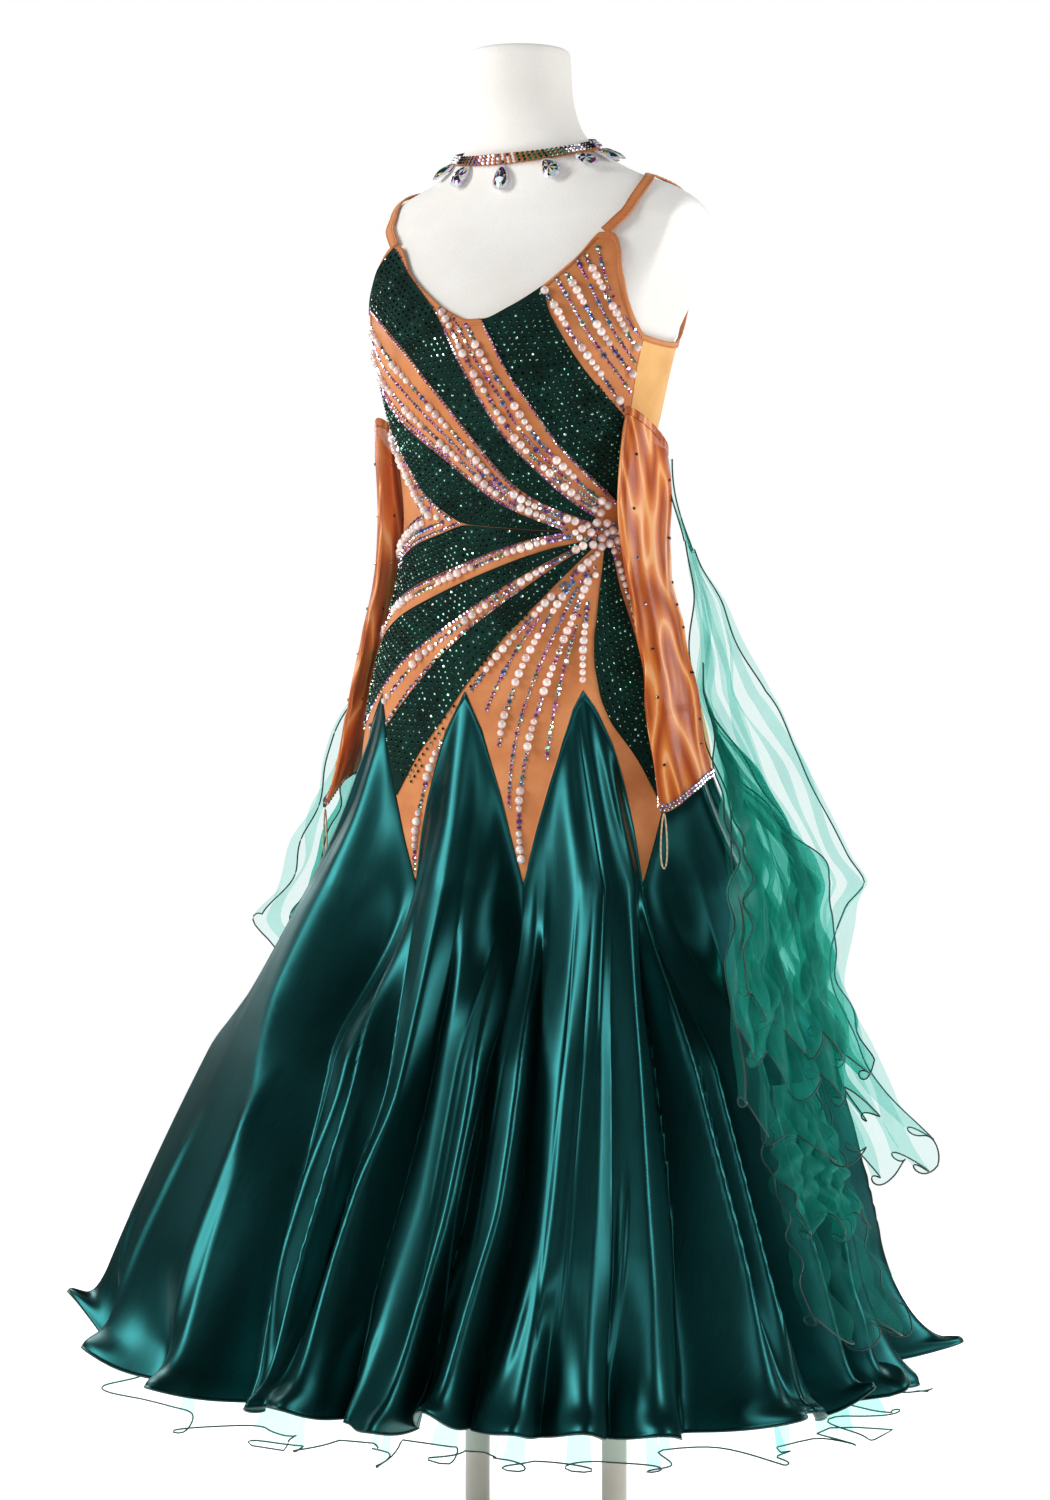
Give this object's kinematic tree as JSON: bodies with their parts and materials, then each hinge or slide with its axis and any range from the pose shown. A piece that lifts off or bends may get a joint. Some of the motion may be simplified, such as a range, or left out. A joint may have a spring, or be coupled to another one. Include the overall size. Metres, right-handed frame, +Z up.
{
  "type": "ballroom dance dress on a limbless dress form",
  "caption": "Sleeveless ballroom dance dress with flared satin godets, stoned bodice, choker, armlets and organza floats, on a limbless dress form with a round base.",
  "frame": {"origin": "on the floor, under the centre of the round base", "axes": "+Z up, +X towards the wearer's left, the wearer faces -Y"},
  "size_m": [0.8696, 0.8503, 1.506],
  "materials": {
    "stretch_cloth": "tan stretch cloth with a slight sheen",
    "stretch_velvet": "dark green stretch velvet, stoned all over",
    "satin": "deep teal satin with a strong sheen",
    "organza": "sheer teal organza with corded edges",
    "stretch_mesh": "tan stretch mesh",
    "elastic": "covered elastic cord",
    "crystal": "clear foil-backed glass, faceted",
    "form_cover": "white matte jersey cover",
    "stand_paint": "pale satin paint"
  },
  "bodies": {
    "root": {"applique_bust_left": "stretch_velvet", "applique_bust_right": "stretch_velvet", "applique_hip": "stretch_velvet", "applique_side": "stretch_velvet", "applique_thigh": "stretch_velvet", "applique_waist_lower": "stretch_velvet", "applique_waist_upper": "stretch_velvet", "armlet_band_left": "stretch_mesh", "armlet_band_right": "stretch_mesh", "armlet_left": "stretch_mesh", "armlet_right": "stretch_mesh", "bodice_back": "stretch_cloth", "bodice_front": "stretch_cloth", "bodice_side_left": "stretch_cloth", "bodice_side_right": "stretch_cloth", "choker_band": "stretch_cloth", "choker_drop_01": "crystal", "choker_drop_02": "crystal", "choker_drop_03": "crystal", "choker_drop_04": "crystal", "choker_drop_05": "crystal", "choker_drop_06": "crystal", "choker_drop_07": "crystal", "choker_drop_08": "crystal", "choker_drop_09": "crystal", "choker_drop_10": "crystal", "choker_drop_11": "crystal", "finger_loop_left": "elastic", "finger_loop_right": "elastic", "float_left": "organza", "float_left_tail": "organza", "float_right": "organza", "form_torso": "form_cover", "godet_back": "satin", "godet_back_left": "satin", "godet_back_right": "satin", "godet_front": "satin", "godet_front_left": "satin", "godet_front_right": "satin", "godet_left": "satin", "godet_right": "satin", "stand_base": "stand_paint", "stand_pole_left": "stand_paint", "stand_pole_right": "stand_paint", "strap_left": "stretch_cloth", "strap_right": "stretch_cloth", "underskirt": "organza"}
  },
  "joints": []
}
